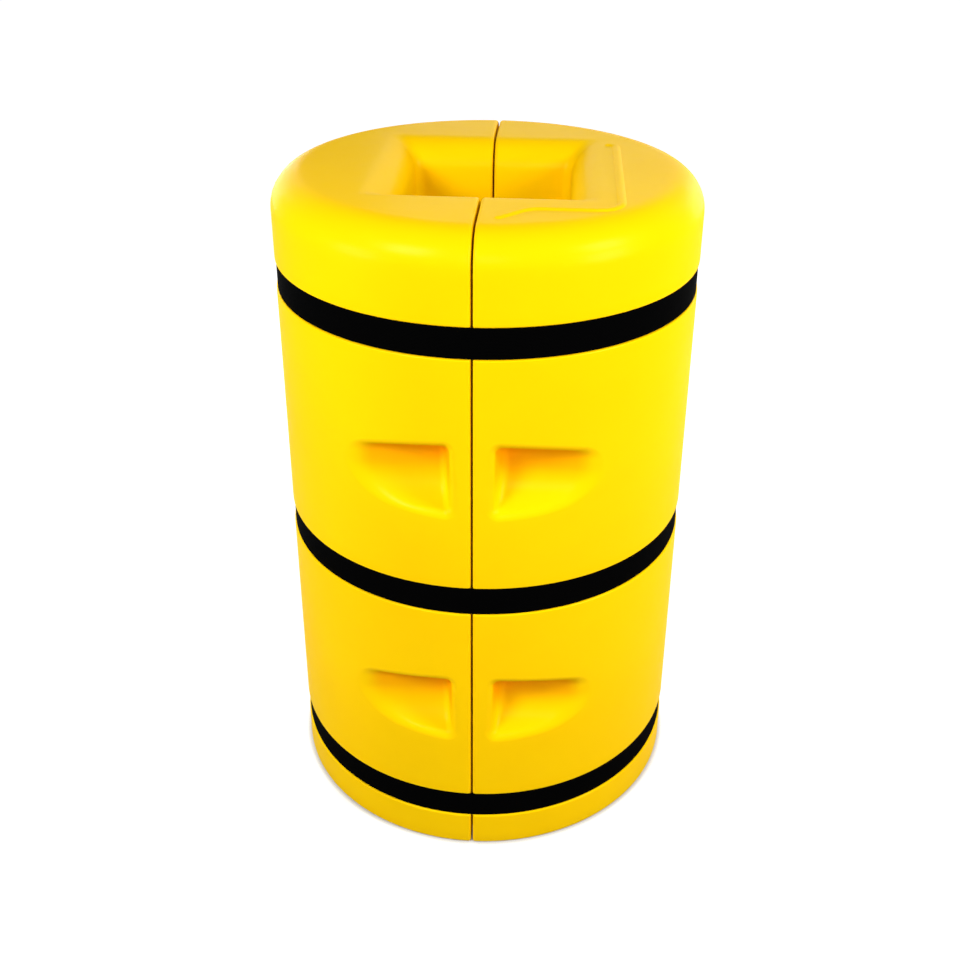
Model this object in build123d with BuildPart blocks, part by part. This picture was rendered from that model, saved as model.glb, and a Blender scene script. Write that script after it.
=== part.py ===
from build123d import *
import os
from math import acos, asin, degrees, hypot, radians, sqrt, tan

# Column protector: two hollow moulded half drums that close round a square building column, held by three
# hook-and-loop straps that lie in grooves. Millimetres, +Z up, origin in the middle of the base. The halves
# meet on the plane x = 0, the straps close over the rear seam at +Y and fold at the front seam at -Y.

# Drum
drum_radius = 330.2
drum_height = 1067.0
shell_wall = 3.0
top_edge_radius = 53.0
base_edge_chamfer = 3.0

# Square passage for the column
bore_side = 254.0
bore_corner_radius = 16.0
bore_mouth_radius = 48.0

# Seam between the halves
seam_gap = 3.0
seam_edge_radius = 5.0

# Straps, from the groove floor outwards: webbing, loop patch, hook patch, webbing of the tail
strap_width = 46.0
upper_strap_from_top = 153.0
lower_strap_from_base = 83.3
middle_strap_share = 0.4932
strap_recess = 2.0
webbing_thickness = 2.0
loop_thickness = 1.0
hook_thickness = 1.0
seat_gap = 0.3
sewn_gap = 0.2
closing_gap = 0.5
patch_side_margin = 1.0
tail_length = 165.0
tail_end_radius = 10.0
fold_clearance = 0.2
loop_seam_margin = 2.5
loop_past_tail = 19.0
hook_root_margin = 12.0
hook_end_margin = 33.0
groove_side_clearance = 1.0

# Hand pockets beside the seam, cut square to the front and rear of the drum
pocket_seam_offset = 30.0
pocket_depth = 52.0
pocket_rise = 55.0
pocket_drop = 60.0
pocket_ceiling_slope = 28.5
pocket_ramp_slope = 22.0
pocket_end_draft = 13.0
pocket_ceiling_radius = 10.0
pocket_ramp_radius = 40.0
pocket_lip_radius = 5.0

# Bead moulded on the top of the right half, round the column opening
bead_width = 9.0
bead_height = 2.0
bead_root = 2.0
bead_top_chamfer = 1.2
bead_side_margin = 70.0
bead_front_margin = 85.0
bead_back_margin = 8.0
bead_mouth_margin = 3.0
bead_seam_offset = 26.0
bead_jog_length = 44.0
bead_jog_depth = 48.0
bead_jog_radius = 40.0
bead_front_radius = 36.0
bead_back_radius = 12.0

# Air vent through the wall that faces the column
vent_radius = 5.0
vent_height = 150.0

# Sizes that follow from those above
seam_face = seam_gap / 2
bore_half = bore_side / 2
mouth_half = bore_half + bore_mouth_radius
bevel_share = 0.88
chamber_top_bevel = bevel_share * (top_edge_radius - shell_wall)
chamber_mouth_bevel = bevel_share * (bore_mouth_radius - shell_wall)
groove_depth = seat_gap + webbing_thickness + strap_recess
groove_width = strap_width + 2 * groove_side_clearance
groove_floor = drum_radius - groove_depth
chamber_radius = groove_floor - shell_wall
run_radius = groove_floor + seat_gap + webbing_thickness / 2
loop_radius = run_radius + webbing_thickness / 2 + sewn_gap + loop_thickness / 2
hook_radius = loop_radius + loop_thickness / 2 + closing_gap + hook_thickness / 2
tail_radius = hook_radius + hook_thickness / 2 + sewn_gap + webbing_thickness / 2
fold_half = fold_clearance / 2
patch_width = strap_width - 2 * patch_side_margin
loop_start = seam_face + loop_seam_margin
loop_length = tail_length + loop_past_tail - loop_start
hook_length = tail_length - hook_root_margin - hook_end_margin
upper_strap_height = drum_height - upper_strap_from_top
strap_span = upper_strap_height - lower_strap_from_base
middle_strap_height = lower_strap_from_base + middle_strap_share * strap_span
strap_heights = {"upper": upper_strap_height, "middle": middle_strap_height, "lower": lower_strap_from_base}
pocket_heights = [
    (upper_strap_height + middle_strap_height) / 2,
    (middle_strap_height + lower_strap_from_base) / 2,
]
pocket_reach = sqrt(drum_radius**2 - (drum_radius - pocket_depth) ** 2)
surface_tolerance = 0.05
clear_of_part = 20.0

os.makedirs("parts", exist_ok=True)


def passage_prism(plane):
    """Prism across the drum along a vertical plane's normal, between two walls that round outwards at the top."""
    wall_top = drum_height - bore_mouth_radius
    with BuildPart() as prism:
        with BuildSketch(plane.offset(-mouth_half)):
            with BuildLine():
                Line((mouth_half, drum_height), (-mouth_half, drum_height))
                CenterArc((-mouth_half, wall_top), bore_mouth_radius, 90, -90)
                Polyline((-bore_half, wall_top), (-bore_half, 0), (bore_half, 0), (bore_half, wall_top))
                CenterArc((mouth_half, wall_top), bore_mouth_radius, 180, -90)
            make_face()
        extrude(amount=2 * mouth_half)
    return prism.part


def on_passage_corner(edge):
    """True for an edge that runs up one of the four corners of the passage."""
    middle = edge @ 0.5
    return abs(abs(middle.X) - abs(middle.Y)) < surface_tolerance


def passage():
    """Form of the square passage, whose rounded mouth keeps small corners all the way up."""
    with BuildPart() as form:
        add(passage_prism(Plane.XZ))
        add(passage_prism(Plane.YZ), mode=Mode.INTERSECT)
        fillet(form.edges().filter_by(on_passage_corner), bore_corner_radius)
    return form.part


def half_blank():
    """Half of the drum on the +X side, with its half of the square passage."""
    with BuildPart() as half:
        with BuildSketch(Plane.XZ):
            Rectangle(drum_radius, drum_height, align=(Align.MIN, Align.MIN))
            fillet(vertices().group_by(Axis.X)[-1].sort_by(Axis.Y)[-1], top_edge_radius)
        revolve(axis=Axis.Z)
        add(passage(), mode=Mode.SUBTRACT)
        split(bisect_by=Plane.YZ.offset(seam_face), keep=Keep.TOP)
    return half.part


def groove_ring(height):
    """Ring that cuts one strap groove."""
    with BuildPart() as ring:
        with BuildSketch(Plane.XZ):
            with Locations((groove_floor, height)):
                Rectangle(groove_depth + clear_of_part, groove_width, align=(Align.MIN, Align.CENTER))
        revolve(axis=Axis.Z)
    return ring.part


def pocket_form(height, grow):
    """Form of one hand pocket at the front of the +X half; one grown by grow keeps its back edges sharp."""
    back = -(drum_radius - pocket_depth)
    outside = -(drum_radius + clear_of_part)
    run = back - outside
    rise = pocket_rise - pocket_depth * tan(radians(pocket_ceiling_slope))
    drop = pocket_drop - pocket_depth * tan(radians(pocket_ramp_slope))
    with BuildPart() as form:
        with BuildSketch(Plane.YZ):
            with BuildLine():
                Polyline(
                    (back, height + rise),
                    (outside, height + rise + run * tan(radians(pocket_ceiling_slope))),
                    (outside, height - drop - run * tan(radians(pocket_ramp_slope))),
                    (back, height - drop),
                    close=True,
                )
            make_face()
            if grow > 0:
                offset(amount=grow, kind=Kind.INTERSECTION)
            else:
                ramp_corner, ceiling_corner = vertices().group_by(Axis.X)[-1].sort_by(Axis.Y)
                fillet(ramp_corner, pocket_ramp_radius)
                fillet(ceiling_corner, pocket_ceiling_radius)
        extrude(amount=pocket_reach + clear_of_part)
        end = Plane(origin=(pocket_seam_offset - grow, -drum_radius, height), z_dir=(1, 0, 0))
        split(bisect_by=end.rotated((0, 0, -pocket_end_draft)), keep=Keep.TOP)
    return form.part


def on_pocket_lip(edge):
    """True for an edge of a hand pocket that lies on the outside of the drum."""
    for share in (0, 0.5, 1):
        point = edge @ share
        if abs(hypot(point.X, point.Y) - drum_radius) > surface_tolerance:
            return False
        if point.X < pocket_seam_offset:
            return False
        if min(abs(point.Z - height) for height in pocket_heights) > pocket_drop + surface_tolerance:
            return False
    return True


def chamber():
    """Hollow inside the +X half shell, a wall inside its groove floors, with plain bevels behind the rounded edges."""
    core_side = bore_side + 2 * shell_wall
    with BuildPart() as hollow:
        with BuildSketch(Plane.XZ):
            with Locations((0, shell_wall)):
                Rectangle(chamber_radius, drum_height - 2 * shell_wall, align=(Align.MIN, Align.MIN))
            chamfer(vertices().group_by(Axis.X)[-1].sort_by(Axis.Y)[-1], chamber_top_bevel)
        revolve(axis=Axis.Z)
        with BuildSketch(Plane.XY):
            Rectangle(core_side, core_side)
        extrude(amount=drum_height, mode=Mode.SUBTRACT)
        chamfer(hollow.faces().sort_by(Axis.Z)[-1].inner_wires()[0].edges(), chamber_mouth_bevel)
        split(bisect_by=Plane.YZ.offset(seam_face + shell_wall), keep=Keep.TOP)
        for height in pocket_heights:
            form = pocket_form(height, shell_wall)
            add(form, mode=Mode.SUBTRACT)
            mirror(form, about=Plane.XZ, mode=Mode.SUBTRACT)
    return hollow.part


def half_shell():
    """Moulded half shell on the +X side: seam edges, grooves, hand pockets, chamber and air vent."""
    with BuildPart() as shell:
        add(half_blank())
        for seam in shell.faces().sort_by(Axis.X)[0:2]:
            fillet(seam.edges().sort_by(Axis.Z)[1:], seam_edge_radius)
        chamfer(shell.faces().sort_by(Axis.Z)[0].edges().sort_by(SortBy.LENGTH)[-1], base_edge_chamfer)
        for height in pocket_heights:
            form = pocket_form(height, 0)
            add(form, mode=Mode.SUBTRACT)
            mirror(form, about=Plane.XZ, mode=Mode.SUBTRACT)
        fillet(shell.edges().filter_by(on_pocket_lip), pocket_lip_radius)
        for height in strap_heights.values():
            add(groove_ring(height), mode=Mode.SUBTRACT)
        add(chamber(), mode=Mode.SUBTRACT)
        with BuildSketch(Plane.YZ.offset(bore_half - shell_wall)):
            with Locations((0, vent_height)):
                Circle(vent_radius)
        extrude(amount=3 * shell_wall, mode=Mode.SUBTRACT)
    return shell.part


def band(radius, thickness, width, start, length, height):
    """Strip that lies on a circle round the drum, from start to start + length past the rear seam."""
    with BuildPart() as strip:
        with BuildSketch(Plane.XY.offset(height - width / 2)):
            with BuildLine():
                CenterArc((0, 0), radius, 90 + degrees(start / radius), degrees(length / radius))
            trace(line_width=thickness)
        extrude(amount=width)
    return strip.part


def left_run(height):
    """Webbing round the left half, from the rear seam to the fold at the front seam."""
    rear_angle = degrees(asin(seam_face / run_radius))
    fold_angle = degrees(asin(fold_half / run_radius))
    with BuildPart() as run:
        with BuildSketch(Plane.XY.offset(height - strap_width / 2)):
            with BuildLine():
                CenterArc((0, 0), run_radius, 90 + rear_angle, 180 - rear_angle - fold_angle)
            trace(line_width=webbing_thickness)
        extrude(amount=strap_width)
    return run.part


def right_run(height):
    """Webbing round the right half, which leaves the groove floor at the rear to meet its tail above the patches."""
    fold_angle = degrees(asin(fold_half / run_radius))
    lift_length = sqrt(tail_radius**2 - run_radius**2)
    lift_angle = degrees(acos(run_radius / tail_radius))
    with BuildPart() as run:
        with BuildSketch(Plane.XY.offset(height - strap_width / 2)):
            with BuildLine():
                wrap = CenterArc((0, 0), run_radius, fold_angle - 90, 180 - fold_angle - lift_angle)
                Line(wrap @ 1, (wrap @ 1) + (wrap % 1) * (lift_length + webbing_thickness))
            trace(line_width=webbing_thickness)
        extrude(amount=strap_width)
        split(bisect_by=Plane.YZ.offset(fold_half), keep=Keep.TOP)
    return run.part


def tail(height):
    """Free end of the strap, which closes over the rear seam and ends in rounded corners."""
    with BuildPart() as web:
        add(band(tail_radius, webbing_thickness, strap_width, fold_half, tail_length, height))
        corners = web.faces().sort_by(Axis.X)[0].edges().sort_by(SortBy.LENGTH)[0:2]
        fillet(corners, tail_end_radius)
    return web.part


def save(part, name):
    """Label one piece and write it to its own file."""
    part.label = name
    export_step(part, f"parts/{name}.step")


plain_half = half_shell()

# Left half shell
with BuildPart() as left_half_shell:
    mirror(plain_half, about=Plane.YZ)
save(left_half_shell.part, "left_half_shell")

# Right half shell, with the bead round the column opening
bead_side = bore_half + bead_side_margin
bead_front = -(bore_half + bead_front_margin)
bead_back = bore_half + bead_back_margin
bead_mouth = mouth_half + bead_mouth_margin
with BuildPart() as right_half_shell:
    add(plain_half)
    with BuildSketch(Plane.XY.offset(drum_height - bead_root)):
        with BuildLine():
            FilletPolyline(
                (bead_seam_offset, bead_front - bead_jog_depth),
                (bead_seam_offset + bead_jog_length, bead_front),
                (bead_side, bead_front),
                (bead_side, bead_back),
                (bead_mouth, bead_back),
                radius=[bead_jog_radius, bead_front_radius, bead_back_radius],
            )
        trace(line_width=bead_width)
    extrude(amount=bead_root + bead_height)
    chamfer(right_half_shell.faces().sort_by(Axis.Z)[-1].edges(), bead_top_chamfer)
save(right_half_shell.part, "right_half_shell")

# Straps, each with its two runs, its patches and its tail
for level, height in strap_heights.items():
    save(left_run(height), f"{level}_strap_left_run")
    save(right_run(height), f"{level}_strap_right_run")
    save(band(loop_radius, loop_thickness, patch_width, loop_start, loop_length, height), f"{level}_loop_patch")
    save(tail(height), f"{level}_strap_tail")
    save(band(hook_radius, hook_thickness, patch_width, hook_root_margin, hook_length, height), f"{level}_hook_patch")
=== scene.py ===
"""Looks of a column protector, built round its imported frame.

Two moulded half drums close round a square building column, and three hook-and-loop straps hold
them together. Sizes are in metres, in the frame of the part: +Z up, the front seam at -Y, the straps
closed over the rear seam.
"""

import logging
import math
from dataclasses import dataclass, field
from enum import Enum

import bmesh
import bpy
import numpy as np
from mathutils import Matrix, Vector

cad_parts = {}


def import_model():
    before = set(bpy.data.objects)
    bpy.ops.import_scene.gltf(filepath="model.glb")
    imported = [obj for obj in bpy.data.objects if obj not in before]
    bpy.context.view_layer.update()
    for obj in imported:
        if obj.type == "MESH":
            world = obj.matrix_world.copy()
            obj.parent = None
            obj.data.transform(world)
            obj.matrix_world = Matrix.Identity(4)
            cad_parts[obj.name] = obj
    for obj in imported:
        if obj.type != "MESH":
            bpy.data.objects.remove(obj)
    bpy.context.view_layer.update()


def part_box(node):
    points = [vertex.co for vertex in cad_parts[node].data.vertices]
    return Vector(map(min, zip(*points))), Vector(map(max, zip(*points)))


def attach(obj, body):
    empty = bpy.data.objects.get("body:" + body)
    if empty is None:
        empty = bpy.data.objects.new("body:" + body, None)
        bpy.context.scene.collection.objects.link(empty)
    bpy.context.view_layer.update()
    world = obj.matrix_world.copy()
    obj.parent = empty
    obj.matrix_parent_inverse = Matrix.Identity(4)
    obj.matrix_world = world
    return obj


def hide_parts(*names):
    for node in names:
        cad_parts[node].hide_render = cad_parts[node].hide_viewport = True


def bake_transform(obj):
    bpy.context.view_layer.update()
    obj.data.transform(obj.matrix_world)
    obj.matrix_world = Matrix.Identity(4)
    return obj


LOG = logging.getLogger("column_protector")
PHOTO_WIDTH = 960
SENSOR_WIDTH = 36.0
NOISE_RANGE = (0.3, 0.7)
WHITE = (1.0, 1.0, 1.0, 1.0)


class Side(Enum):
    """Half of the drum, with the sign of its X."""

    LEFT = -1
    RIGHT = 1


class Level(Enum):
    """Height at which a strap lies."""

    UPPER = "upper"
    MIDDLE = "middle"
    LOWER = "lower"


class Slot(Enum):
    """Material slot of the record."""

    SHELL = "shell"
    WEBBING = "webbing"
    LOOP_PILE = "loop_pile"
    HOOK_TAPE = "hook_tape"


def stations(*stretches: tuple[float, float, float]) -> np.ndarray:
    """Places along a line, with a spacing of its own in each stretch.

    Args:
        stretches: start, end and greatest spacing of each stretch, one following another.

    Returns:
        The places in order, with the ends of the stretches among them.
    """
    places = [np.array([stretches[0][0]])]
    for start, end, spacing in stretches:
        count = max(1, math.ceil(abs(end - start) / spacing))
        places.append(np.linspace(start, end, count + 1)[1:])
    return np.concatenate(places)


def rounded_line(corners: list[tuple[float, float]], radii: list[float], steps: int) -> np.ndarray:
    """Line through corners, each inner corner rounded by an arc.

    Args:
        corners: points of the line, ends included.
        radii: radius at each inner corner.
        steps: points on each arc, less one.

    Returns:
        Points of the rounded line, one row each.
    """
    points = np.array(corners, float)
    line = [points[0]]
    for before, corner, after, radius in zip(points[:-2], points[1:-1], points[2:], radii):
        arrive = (corner - before) / np.linalg.norm(corner - before)
        leave = (after - corner) / np.linalg.norm(after - corner)
        turn = math.acos(np.clip(arrive @ leave, -1, 1))
        reach = radius * math.tan(turn / 2)
        inward = (leave - arrive) / np.linalg.norm(leave - arrive)
        centre = corner + inward * radius / math.cos(turn / 2)
        start = corner - arrive * reach - centre
        side = arrive * radius
        for angle in np.linspace(0, turn, steps + 1):
            line.append(centre + start * math.cos(angle) + side * math.sin(angle))
    line.append(points[-1])
    return np.array(line)


def spaced_line(line: np.ndarray, spacing: float) -> np.ndarray:
    """The same line with its long stretches divided.

    Args:
        line: points of the line, one row each.
        spacing: longest stretch to leave.

    Returns:
        Points of the divided line.
    """
    points = [line[0]]
    for start, end in zip(line[:-1], line[1:]):
        count = max(1, math.ceil(np.linalg.norm(end - start) / spacing))
        points += [start + (end - start) * step / count for step in range(1, count + 1)]
    return np.array(points)


def distances(path: np.ndarray) -> np.ndarray:
    """Distance of each point of a path from its start, along the path."""
    return np.concatenate([[0], np.cumsum(np.linalg.norm(np.diff(path, axis=0), axis=1))])


def eased_share(value: np.ndarray, low: float, high: float) -> np.ndarray:
    """Share of the way from a low to a high value, from 0 to 1 and eased at both ends.

    Args:
        value: values to place.
        low: value at which the share is 0.
        high: value at which the share is 1.

    Returns:
        The shares.
    """
    share = np.clip((value - low) / (high - low), 0, 1)
    return share * share * (3 - 2 * share)


def round_meet(first: np.ndarray, second: np.ndarray, radius: np.ndarray | float) -> np.ndarray:
    """Depth inside two faces at once, with the edge where they meet rounded.

    Args:
        first: depth inside the first face.
        second: depth inside the second face.
        radius: radius of the rounded edge.

    Returns:
        Depth inside the rounded form, positive inside.
    """
    nearer = np.minimum(first, second)
    rounded = radius - np.hypot(np.maximum(radius - first, 0), np.maximum(radius - second, 0))
    return np.where(nearer > radius, nearer, rounded)


def placed(name: str, data: bpy.types.ID) -> bpy.types.Object:
    """Make an object and put it in the scene.

    Args:
        name: its name.
        data: its mesh, camera or light.

    Returns:
        The object.
    """
    made = bpy.data.objects.new(name, data)
    bpy.context.scene.collection.objects.link(made)
    return made


class Draft:
    """Points and faces of one piece, gathered before it becomes an object."""

    def __init__(self) -> None:
        """Start with nothing."""
        self.points: list[np.ndarray] = []
        self.weave: list[np.ndarray] = []
        # Shares of the painted shadow, one for each point.
        self.painted_shade: list[np.ndarray] = []
        self.faces: list[list[int]] = []
        self.count = 0

    def add(
        self, points: np.ndarray, weave: np.ndarray | None = None, painted_shade: np.ndarray | None = None
    ) -> np.ndarray:
        """Add points to the piece.

        Args:
            points: array of points, of any shape that ends in 3.
            weave: places along and across the cloth, in an array of the same shape that ends in 2.
            painted_shade: shares of the deeper colour painted in as shadow, in an array of the same shape
                without its end.

        Returns:
            The numbers of the points, in the shape of the array.
        """
        flat = points.reshape(-1, 3)
        numbers = np.arange(self.count, self.count + len(flat)).reshape(points.shape[:-1])
        self.points.append(flat)
        self.weave.append(np.zeros((len(flat), 2)) if weave is None else weave.reshape(-1, 2))
        self.painted_shade.append(np.zeros(len(flat)) if painted_shade is None else painted_shade.ravel())
        self.count += len(flat)
        return numbers

    def skin(self, grid: np.ndarray, around: bool = False, leave_out: np.ndarray | None = None) -> None:
        """Lay faces over a grid of points.

        Args:
            grid: numbers of the points, in rows and columns.
            around: whether the last row joins the first.
            leave_out: grid of truths, one for each face, where none is wanted.
        """
        rows = np.vstack([grid, grid[:1]]) if around else grid
        faces = np.stack([rows[:-1, :-1], rows[1:, :-1], rows[1:, 1:], rows[:-1, 1:]], -1)
        if leave_out is not None:
            faces = faces[~leave_out]
        self.faces += faces.reshape(-1, 4).tolist()

    def cap(self, loop: np.ndarray) -> None:
        """Close a loop of points with one face."""
        self.faces.append([int(number) for number in loop])

    def wrap(self, loops: list[np.ndarray]) -> None:
        """Lay faces from each closed loop of points to the next."""
        self.skin(np.array([np.append(loop, loop[0]) for loop in loops]))

    def tube(self, grid: np.ndarray) -> None:
        """Lay faces round a grid whose rows are closed loops, and close both ends.

        Args:
            grid: numbers of the points, in rows and columns.
        """
        self.skin(grid.T, around=True)
        self.cap(grid[0])
        self.cap(grid[-1])

    def build(self, name: str, crease_deg: float = 50.0) -> bpy.types.Object:
        """Make the object.

        Args:
            name: name of the piece.
            crease_deg: angle between faces above which their edge stays sharp.

        Returns:
            The object, in the scene.
        """
        mesh = bpy.data.meshes.new(name)
        mesh.from_pydata(np.concatenate(self.points).tolist(), [], self.faces)
        form = bmesh.new()
        form.from_mesh(mesh)
        bmesh.ops.recalc_face_normals(form, faces=form.faces)
        form.to_mesh(mesh)
        form.free()
        mesh.shade_smooth()
        mesh.set_sharp_from_angle(angle=math.radians(crease_deg))
        places = np.concatenate(self.weave)
        cloth = mesh.attributes.new("weave", "FLOAT_VECTOR", "POINT")
        cloth.data.foreach_set("vector", np.column_stack([places, np.zeros(len(places))]).ravel())
        # Shares of the painted shadow, read by the plastic's colour.
        shares = mesh.attributes.new("painted_shade", "FLOAT", "POINT")
        shares.data.foreach_set("value", np.concatenate(self.painted_shade))
        return placed(name, mesh)


class Nodes:
    """Short way to lay out the nodes of one material or world."""

    def __init__(self, tree: bpy.types.NodeTree) -> None:
        """Start from an empty tree."""
        self.tree = tree
        tree.nodes.clear()

    def add(self, kind: str, **settings: object) -> bpy.types.Node:
        """Add one node.

        Args:
            kind: Blender's name of the node's type.
            settings: its properties.

        Returns:
            The node.
        """
        node = self.tree.nodes.new(kind)
        for name, value in settings.items():
            setattr(node, name, value)
        return node

    def join(self, source: bpy.types.NodeSocket, target: bpy.types.NodeSocket) -> None:
        """Link an output to an input."""
        self.tree.links.new(source, target)

    def feed(self, value: object, target: bpy.types.NodeSocket) -> None:
        """Give an input a link or a fixed value.

        Args:
            value: socket to link, or the fixed value.
            target: the input.
        """
        if isinstance(value, bpy.types.NodeSocket):
            self.join(value, target)
        else:
            target.default_value = value

    def put(self, node: bpy.types.Node, values: dict[str, object]) -> None:
        """Give the named inputs of a node their links or fixed values."""
        for name, value in values.items():
            self.feed(value, node.inputs[name])

    def math(self, operation: str, first: object, second: object = 0.0) -> bpy.types.NodeSocket:
        """Work out one number from two.

        Args:
            operation: Blender's name of the operation.
            first: socket or number.
            second: socket or number.

        Returns:
            The socket of the result.
        """
        node = self.add("ShaderNodeMath", operation=operation)
        self.feed(first, node.inputs[0])
        self.feed(second, node.inputs[1])
        return node.outputs[0]

    def noise(self, place: bpy.types.NodeSocket, scale: float, detail: float) -> bpy.types.NodeSocket:
        """Smooth noise.

        Args:
            place: socket of the place to read it at.
            scale: bumps per metre.
            detail: finer layers.

        Returns:
            The socket of its value, about 0.5.
        """
        node = self.add("ShaderNodeTexNoise")
        self.put(node, {"Vector": place, "Scale": scale, "Detail": detail})
        return node.outputs["Fac"]

    def spread(
        self, value: bpy.types.NodeSocket, low: float, high: float,
        source: tuple = NOISE_RANGE, eased: bool = False,
    ) -> bpy.types.NodeSocket:
        """Stretch a number, such as noise about 0.5, over a range.

        Args:
            value: socket of the number.
            low: result at its usual low.
            high: result at its usual high.
            source: the usual low and high.
            eased: whether the result leaves and arrives softly.

        Returns:
            The socket of the result.
        """
        node = self.add("ShaderNodeMapRange", interpolation_type="SMOOTHSTEP" if eased else "LINEAR")
        limits = {"From Min": source[0], "From Max": source[1], "To Min": low, "To Max": high}
        self.put(node, {"Value": value, **limits})
        return node.outputs["Result"]

    def tint(self, share: bpy.types.NodeSocket, first: object, second: tuple) -> bpy.types.NodeSocket:
        """Mix two colours.

        Args:
            share: socket of the share of the second colour.
            first: linear colour at 0, or the socket of one.
            second: linear colour at 1.

        Returns:
            The socket of the colour.
        """
        node = self.add("ShaderNodeMix", data_type="RGBA")
        self.join(share, node.inputs["Factor"])
        self.feed((*first, 1.0) if isinstance(first, tuple) else first, node.inputs["A"])
        node.inputs["B"].default_value = (*second, 1.0)
        return node.outputs["Result"]

    def bump(
        self, height: bpy.types.NodeSocket, depth: float, under: bpy.types.NodeSocket | None = None
    ) -> bpy.types.NodeSocket:
        """Relief that the light sees.

        Args:
            height: socket of the height, from 0 to 1.
            depth: height of the relief in metres.
            under: socket of a normal to lay it on.

        Returns:
            The socket of the normal.
        """
        node = self.add("ShaderNodeBump")
        self.put(node, {"Strength": 1.0, "Distance": depth, "Height": height})
        if under is not None:
            self.join(under, node.inputs["Normal"])
        return node.outputs["Normal"]

    def surface(self, roughness: object, specular: float) -> bpy.types.Node:
        """Shader of a surface, joined to the output.

        Args:
            roughness: socket or number.
            specular: level of its mirror reflection.

        Returns:
            The shader.
        """
        shader = self.add("ShaderNodeBsdfPrincipled")
        self.put(shader, {"Roughness": roughness, "Specular IOR Level": specular})
        output = self.add("ShaderNodeOutputMaterial")
        self.join(shader.outputs["BSDF"], output.inputs["Surface"])
        return shader


def new_material(name: str) -> tuple[bpy.types.Material, Nodes]:
    """Make an empty material.

    Args:
        name: its name.

    Returns:
        The material and its nodes.
    """
    material = bpy.data.materials.new(name)
    material.use_nodes = True
    return material, Nodes(material.node_tree)


def give_finish(piece: bpy.types.Object, finishes: dict[Slot, bpy.types.Material], slot: Slot) -> None:
    """Give a piece its finish and report it.

    Args:
        piece: the piece.
        finishes: material of each slot.
        slot: the record's slot that the piece's finish stands for.
    """
    piece.data.materials.append(finishes[slot])
    LOG.info("%s: %d points, %s", piece.name, len(piece.data.vertices), finishes[slot].name)


@dataclass(frozen=True)
class MouldedPlastic:
    """Satin polyethylene from a rotating mould: slow waves, a fine skin, uneven colour and a thin sheen.

    Each noise is given by its bumps per metre and its finer layers. A deeper orange is painted in under the
    pocket ceilings as shadow and bounced light.
    """

    name: str = "moulded_plastic"
    colour: tuple = (0.99, 0.618, 0.0006)
    deep_colour: tuple = (0.97, 0.582, 0.0005)
    # Painted shadow: deeper orange under the pocket ceilings, standing in for their shadow and the light the
    # walls pass to each other.
    painted_shade_colour: tuple = (0.99, 0.42, 0.0004)
    cloud_noise: tuple = (4.0, 4.0)
    wave_noise: tuple = (11.0, 1.0)
    wave_depth: float = 0.0011
    skin_noise: tuple = (420.0, 2.0)
    skin_depth: float = 0.00008
    gloss_noise: tuple = (55.0, 3.0)
    roughness: tuple = (0.36, 0.46)
    specular: float = 0.002
    gleam: float = 0.008
    sheen: float = 0.042
    sheen_roughness: float = 0.24

    def build(self) -> bpy.types.Material:
        """Make the material.

        Returns:
            The material.
        """
        material, nodes = new_material(self.name)
        place = nodes.add("ShaderNodeTexCoord").outputs["Object"]
        gloss = nodes.spread(nodes.noise(place, *self.gloss_noise), *self.roughness)
        shader = nodes.surface(gloss, self.specular)
        coat = {"Coat Weight": self.sheen, "Coat Roughness": self.sheen_roughness}
        nodes.put(shader, {"Metallic": self.gleam, **coat})
        clouds = nodes.spread(nodes.noise(place, *self.cloud_noise), 0.0, 1.0)
        # Painted shadow: the mesh's shares mix the deeper orange into the colour under the pocket ceilings.
        painted_shade = nodes.add("ShaderNodeAttribute", attribute_name="painted_shade").outputs["Fac"]
        colour = nodes.tint(painted_shade, nodes.tint(clouds, self.colour, self.deep_colour), self.painted_shade_colour)
        waves = nodes.bump(nodes.noise(place, *self.wave_noise), self.wave_depth)
        skin = nodes.bump(nodes.noise(place, *self.skin_noise), self.skin_depth, waves)
        nodes.put(shader, {"Base Color": colour, "Normal": skin})
        return material


@dataclass(frozen=True)
class WovenWebbing:
    """Black woven webbing: yarns along the strap that dive and rise, out of step with their neighbours."""

    name: str = "woven_webbing"
    painted_hollow_shade: tuple = (0.0002, 0.0002, 0.0002)
    crown: tuple = (0.0018, 0.0018, 0.0019)
    yarn_width: float = 0.0020
    float_length: float = 0.0045
    stagger: float = 0.5
    dive: float = 0.3
    depth: float = 0.00035
    roughness: float = 0.72
    specular: float = 0.002

    def build(self) -> bpy.types.Material:
        """Make the material.

        Returns:
            The material.
        """
        material, nodes = new_material(self.name)
        cloth = nodes.add("ShaderNodeAttribute", attribute_name="weave").outputs["Vector"]
        axes = nodes.add("ShaderNodeSeparateXYZ")
        nodes.join(cloth, axes.inputs[0])
        yarn = nodes.math("DIVIDE", axes.outputs["Y"], self.yarn_width)
        turn = nodes.math("MULTIPLY", nodes.math("FRACT", yarn), math.pi)
        swell = nodes.math("SINE", turn)
        step = nodes.math("MULTIPLY", nodes.math("FLOOR", yarn), self.stagger)
        beat = nodes.math("ADD", nodes.math("DIVIDE", axes.outputs["X"], self.float_length), step)
        rise = nodes.math("COSINE", nodes.math("MULTIPLY", beat, 2 * math.pi))
        lift = nodes.math("MULTIPLY_ADD", rise, self.dive)
        lift.node.inputs[2].default_value = 1 - self.dive
        height = nodes.math("MULTIPLY", swell, lift)
        shader = nodes.surface(self.roughness, self.specular)
        # Painted shadow: the colour darkens from the crowns of the yarns into the hollows between them.
        colour = nodes.tint(height, self.painted_hollow_shade, self.crown)
        nodes.put(shader, {"Base Color": colour, "Normal": nodes.bump(height, self.depth)})
        return material


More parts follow.
